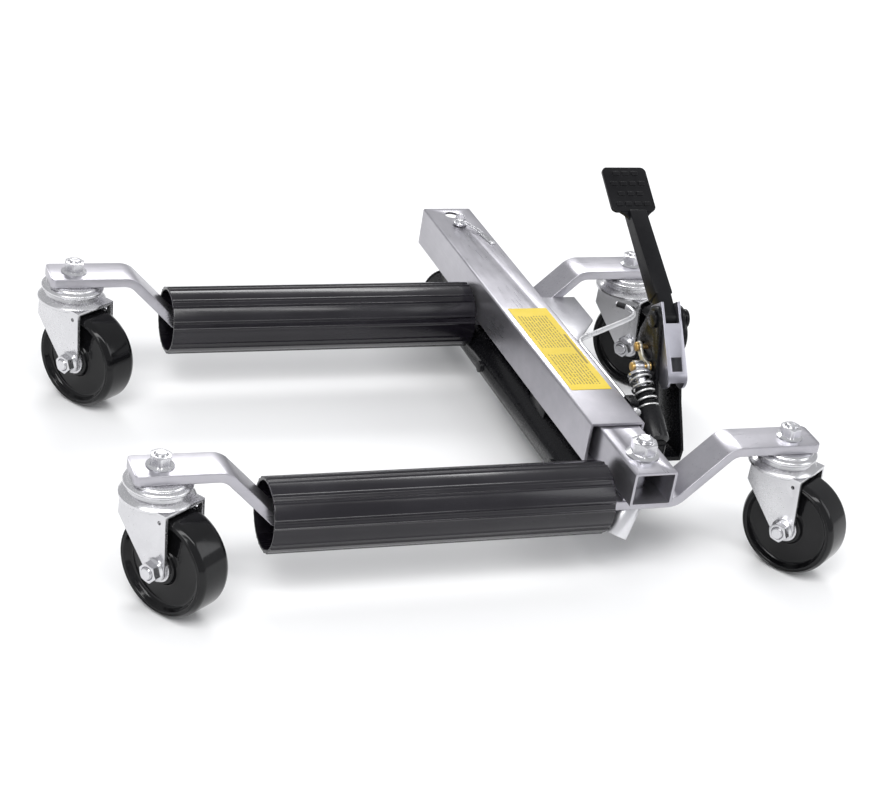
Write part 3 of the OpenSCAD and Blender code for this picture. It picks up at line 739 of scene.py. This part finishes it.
def hub(corner):
    """Steel bush and the washers that the fork legs press on."""
    node = "hub_" + corner
    low, high = span(node)
    centre = at(*((low + high) / 2))
    out, seat = HUB_HALF, WHEEL_HALF + 0.05
    side = [(-out, 6.06), (-out, 9.2, 0.5), (-out + 0.6, 9.8, 0.3), (-out, 10.6, 0.4), (-out, 14, 0.7),
            (-seat, 14, 0.5), (-seat, 10.0)]
    outline = side + [(-s, *rest) for s, *rest in reversed(side)]
    turned(node + "_bush", rounded(outline, 3), centre, caster_axis(corner), SLOTS[node], body_of(node),
           [node])


def axle(corner):
    """Axle bolt with its head, the flange nut and the thread that stands proud of it."""
    bolt, nut = "axle_" + corner, "axle_nut_" + corner
    axis = caster_axis(corner)
    wheel_lo, wheel_hi = span("wheel_" + corner)
    centre = at(*((wheel_lo + wheel_hi) / 2))
    leg_out = LEG_OUT
    bm = bmesh.new()
    shank = leg_out + 8
    lathe(bm, [(-shank, 0), (-shank, 5.98), (leg_out + 0.1, 5.98), (leg_out + 0.1, 0)], centre, axis, 48)
    threaded_end(bm, centre - axis * (shank - 0.6) * MM, -axis, 5.9, leg_out + 12.4 - shank + 0.6, 1.4)

    def head(turn):
        edge = hex_radius(turn, 18)
        return [(0, 0), (0, edge), (7 - (edge - 8.6) * 0.5, edge), (7, 8.5), (7, 6.4), (6.4, 5.8), (6.5, 0)]

    lathe(bm, head, centre + axis * (leg_out + 0.05) * MM, axis, 96)
    piece(bolt + "_bolt", bm, SLOTS[bolt], body_of(bolt), [bolt])
    bm = bmesh.new()
    flange_nut(bm, centre - axis * (leg_out + 0.05) * MM, -axis, 18, 10, 11.5, 6.05)
    piece(nut + "_flanged", bm, SLOTS[nut], body_of(nut), [nut])


def race(name, x, y, bm):
    """Pressed raceway: lower rolled rim, step, upper ring under the flat bar."""
    low, high = span(name)
    tall = high.z - low.z
    outline = [(0, 6.1), (0, 31, 0.8), (1.2, 33, 1.2), (3.8, 33, 1.3), (tall * 0.62, 30.6, 1.2),
               (tall * 0.70, 28.4, 1.0), (tall * 0.86, 27.6, 0.9), (tall, 25, 1.2), (tall, 6.1)]
    lathe(bm, rounded(outline, 5), at(x, y, low.z), (0, 0, 1), 120)


def kingpin_parts(side):
    """Kingpins, their nuts and the raceways of one arm."""
    pins, nuts, races = side + "_kingpins", side + "_king_nuts", side + "_races"
    y = middle(pins).y
    places = [JOINTS["swivel_" + side[0] + end]["pos_m"] for end in "lr"]
    xs = [(Vector(p).x - ORIGIN.x) / MM for p in places]
    pin_lo, pin_hi = span(pins)
    nut_lo, nut_hi = span(nuts)
    bolts, hexes, rings = bmesh.new(), bmesh.new(), bmesh.new()
    for x in xs:
        shank = nut_hi.z - 3 - pin_lo.z
        outline = [(0, 0), (0, 8.2, 0.8), (4.9, 9.9, 0.7), (5.0, 5.98), (shank, 5.98), (shank, 0)]
        lathe(bolts, rounded(outline, 3), at(x, y, pin_lo.z), (0, 0, 1), 48)
        threaded_end(bolts, at(x, y, nut_hi.z - 3.5), (0, 0, 1), 5.95, pin_hi.z - nut_hi.z + 3.5, 1.4)
        flange_nut(hexes, at(x, y, nut_lo.z), (0, 0, 1), 19, nut_hi.z - nut_lo.z, 13.5, 6.05)
        race(races, x, y, rings)
    piece(pins + "_bolts", bolts, SLOTS[pins], body_of(pins), [pins])
    piece(nuts + "_flanged", hexes, SLOTS[nuts], body_of(nuts), [nuts])
    piece(races + "_pressed", rings, SLOTS[races], body_of(races), [races], sharp=50)


def casters():
    for side in ("near", "far"):
        kingpin_parts(side)
    for corner in CORNERS:
        refined("fork_" + corner, 0.8, 3, 30)
        wheel(corner)
        hub(corner)
        axle(corner)


# ---------------------------------------------------------------- ram and pump


def ram():
    low, high = span("ram_gland")
    x, z = (low.x + high.x) / 2, (low.z + high.z) / 2
    tube_hi = span("ram_cylinder")[1]
    refined("ram_cylinder", 0.7)
    refined("ram_saddles", 1.0)
    refined("ram_piston", 0.5)
    refined("ram_lug", 0.9)
    outline = [(0, 9.06), (0, 19, 0.8), (1.2, 23.9, 1.0), (6.9, 23.9, 0.6), (6.9, 19.9), (24, 19.9, 0.6),
               (24, 9.06)]
    turned("ram_gland_cap", rounded(outline, 4), at(x, low.y, z), (0, 1, 0), SLOTS["ram_gland"], "frame",
           ["ram_gland"])
    rod_lo, rod_hi = span("ram_rod")
    radius = (rod_hi.x - rod_lo.x) / 2
    turned("ram_rod_ground", rounded([(0, 0), (0, radius, 1.0), (rod_hi.y - rod_lo.y, radius, 0.8),
                                      (rod_hi.y - rod_lo.y, 0)], 3),
           at((rod_lo.x + rod_hi.x) / 2, rod_lo.y, z), (0, 1, 0), SLOTS["ram_rod"], body_of("ram_rod"),
           ["ram_rod"], 64)
    radius = 24
    weld_ring("weld_ram_end", at(x, tube_hi.y - 8, z), (0, 1, 0), radius - 0.6, 1.6)
    for y in (118, 335):
        plug_bolt("ram_plug_%d" % y, at(x - radius - 3.6, y, z))


def weld_ring(name, centre, axis, radius, bead):
    axis = Vector(axis)
    side = axis.orthogonal().normalized()
    other = axis.cross(side)
    count = 180
    path = [centre + (side * math.cos(TAU * k / count) + other * math.sin(TAU * k / count)) * radius * MM
            for k in range(count)]
    scales = [1 + 0.15 * math.sin(k * TAU * 44 / count) for k in range(count)]
    bm = bmesh.new()
    sweep(bm, path, ring_section(bead, 8), up=axis, closed=True, scales=scales)
    piece(name, bm, "ram_black", "frame", sharp=60)


def plug_bolt(name, origin):
    """Hexagon socket plug screwed into the side of the ram."""

    def profile(turn):
        key = hex_radius(turn, 6)
        return [(0.1, key), (3, key), (3, 0), (3.6, 0), (3.6, 6.3), (0.7, 6.3), (0.15, 5.6)]

    bm = bmesh.new()
    lathe(bm, profile, origin, (1, 0, 0), 72)
    piece(name, bm, "ram_black", "frame")


PUMP_JOINT = JOINTS["plunger_stroke"]
PUMP_UP = -Vector(PUMP_JOINT["axis"]).normalized()


def pump():
    refined("pump_block", 1.0, 3)
    refined("plunger", 0.4)
    spring()
    for node in ("pedal_bracket", "pedal_pivot", "drive_link", "link_pin_a", "link_pin_b"):
        refined(node, 0.45)


def spring():
    """Helix with closed end turns."""
    low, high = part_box("plunger_spring")
    centre = (low + high) / 2
    mean_r, wire = 11.2, 1.25
    rise = 39.4
    base = centre - PUMP_UP * (rise / 2) * MM
    base.x = (low.x + high.x) / 2
    side = Vector((1, 0, 0))
    other = PUMP_UP.cross(side)
    turns, per_turn = 5.5, 36
    path = []
    for k in range(int(turns * per_turn) + 1):
        turn = k / per_turn
        # The first and last three quarters of a turn lie flat.
        open_part = min(1.0, max(0.0, (turn - 0.75) / (turns - 1.5)))
        lift = 2 * wire * min(turn, 0.75) / 0.75 * 0.5
        lift += 2 * wire * max(0.0, turn - turns + 0.75) / 0.75 * 0.5
        s = wire + lift + open_part * (rise - 4 * wire - 0.6)
        path.append(base + PUMP_UP * s * MM
                    + (side * math.cos(turn * TAU) + other * math.sin(turn * TAU)) * mean_r * MM)
    bm = bmesh.new()
    sweep(bm, path, ring_section(wire, 12), up=PUMP_UP)
    obj = piece("plunger_spring_wound", bm, "spring_steel", "frame", ["plunger_spring"], sharp=60)
    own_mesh(obj)


# ---------------------------------------------------------------- pedal and handles


def pedal():
    refined("pedal_sleeve", 0.8, 3)
    refined("pedal_arm", 1.0, 3)
    refined("pedal_pad", 0.7, 3)
    pedal_shoulders()


PAD_SLOPE = math.radians(33)
PAD_MIDDLE = Vector((83, 294, 281))
PAD_EDGE = -27.5
SHOULDER_DEPTH = 13.0
SHOULDER_HALF = 20.0


def pedal_shoulders():
    """Hollow shoulders that spread the arm out to the width of the pad."""
    arm_lo, arm_hi = span("pedal_arm")
    slope, pad = Matrix.Rotation(PAD_SLOPE, 3, "X"), PAD_MIDDLE
    edge, depth, inner, outer = PAD_EDGE, SHOULDER_DEPTH, (arm_hi.x - arm_lo.x) / 2 - 0.6, SHOULDER_HALF
    shift = (arm_lo.x + arm_hi.x) / 2 - pad.x
    curve = [(inner + (outer - inner) * (1 - math.sin(TAU / 4 * k / 12)), edge - depth * k / 12)
             for k in range(13)]
    outline = [(shift + x, y) for x, y in curve] + [(shift - x, y) for x, y in reversed(curve)]
    bm = bmesh.new()
    rings = [[bm.verts.new(at(*(pad + slope @ Vector((x, y, z))))) for x, y in outline]
             for z in (-1.7, 1.3)]
    count = len(outline)
    for k in range(count):
        bm.faces.new((rings[0][k], rings[0][(k + 1) % count], rings[1][(k + 1) % count], rings[1][k]))
    bm.faces.new(rings[0])
    bm.faces.new(list(reversed(rings[1])))
    piece("pedal_shoulders", bm, "pedal_black", body_of("pedal_arm"))


def release_rod():
    """Round rod in the valve post, bent handle and a dipped black tip."""
    low, high = span("release_rod")
    z = (low.z + high.z) / 2
    x = low.x + 5
    points = [at(x, low.y + 0.5, z), at(x, 150, z), at(x, 225, z), at(35.5, 243, z), at(42, 254, z),
              at(66, 267.5, z), at(92, 282, z), at(117, 296.5, z), at(128, 307, z), at(130.5, 319, z),
              at(125.5, 329.5, z), at(119, 335, z)]
    path = smooth_path(points, 10)
    bm = bmesh.new()
    sweep(bm, path, ring_section(2.95, 20))
    lathe(bm, rounded([(0, 0), (0, 4.9, 0.8), (4, 4.9, 0.6), (4, 0)], 3), at(x, low.y, z), (0, 1, 0), 48)
    piece("release_handle", bm, SLOTS["release_rod"], "release", ["release_rod"])
    end, before = path[-1], path[-14]
    along = (end - before).normalized()
    bm = bmesh.new()
    length = (end - before).length / MM - 0.6
    lathe(bm, rounded([(0, 2.9), (0, 3.3, 0.5), (length, 3.3, 1.4), (length, 0)] + [(2, 0)], 4),
          before, along, 40)
    piece("release_tip", bm, "release_zinc", "release", material=INK)


def hitch():
    """Lock pin with a split ring, and the links that keep it to the strap on the beam."""
    low, high = span("hitch_pin")
    x, y = (low.x + high.x) / 2, (low.y + high.y) / 2
    top = span("outer_tube")[1].z
    collar = top + 0.4
    outline = [(0, 0), (0, 3.4, 0.8), (3, 4.98, 0.4), (collar - low.z, 4.98), (collar - low.z, 8, 0.8),
               (collar - low.z + 3, 8, 0.8), (collar - low.z + 3.2, 4.5, 0.5),
               (collar - low.z + 6.2, 4.3, 1.6), (collar - low.z + 6.2, 0)]
    bm = bmesh.new()
    lathe(bm, rounded(outline, 4), at(x, y, low.z), (0, 0, 1), 64)
    ring_at(bm, at(x, y, high.z - 6.5), Vector((0.5, 0.866, 0)), 5, 1.2)
    piece("hitch_pin_ringed", bm, SLOTS["hitch_pin"], body_of("hitch_pin"), ["hitch_pin"])
    strap()
    chain(x, y, top)


def ring_at(bm, centre, axis, radius, wire, stretch=1.0, long_axis=None):
    axis = axis.normalized()
    side = (long_axis or axis.orthogonal()).normalized()
    other = axis.cross(side)
    count = 40
    turns = [TAU * k / count for k in range(count)]
    path = [centre + (side * math.cos(turn) * stretch + other * math.sin(turn)) * radius * MM
            for turn in turns]
    sweep(bm, path, ring_section(wire, 12), up=axis, closed=True)


def strap():
    """Flat keeper strap under a rivet."""
    low, high = span("hitch_chain")
    bm = bmesh.new()
    bm.from_mesh(frame["nodes"]["hitch_chain"].data)
    bmesh.ops.remove_doubles(bm, verts=bm.verts, dist=2e-6)
    rivet = at(high.x - 4, low.y + 4, high.z - 1.2)
    lathe(bm, rounded([(0, 0), (0, 3.9, 0.4), (0.9, 3.2, 0.8), (1.2, 0)], 4), rivet, (0, 0, 1), 48)
    piece("hitch_strap", bm, SLOTS["hitch_chain"], body_of("hitch_chain"), ["hitch_chain"])


def chain(x, y, top):
    """Four links between the strap's end and the pin's ring."""
    strap_lo, strap_hi = span("hitch_chain")
    start = Vector((strap_lo.x + 3, strap_hi.y - 2, top + 2.4))
    end = Vector((x + 2.5, y - 5.5, top + 6.0))
    bm = bmesh.new()
    links = 4
    along = (end - start).normalized()
    for k in range(links):
        centre = start.lerp(end, (k + 0.5) / links)
        axis = Vector((0, 0, 1)) if k % 2 else Vector((along.y, -along.x, 0)) + Vector((0, 0, 0.4))
        axis = (axis - along * axis.dot(along)).normalized()
        ring_at(bm, at(*centre), axis, 2.3, 0.65, stretch=1.9, long_axis=along)
    obj = piece("hitch_links", bm, "hitch_zinc", "frame")
    obj.parent = None
    del obj["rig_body"]
    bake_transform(obj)


# ---------------------------------------------------------------- everything

camera()
studio()
arms()
beam()
casters()
ram()
pump()
pedal()
release_rod()
hitch()
bpy.context.scene.view_settings.view_transform = "Standard"

bpy.context.view_layer.update()
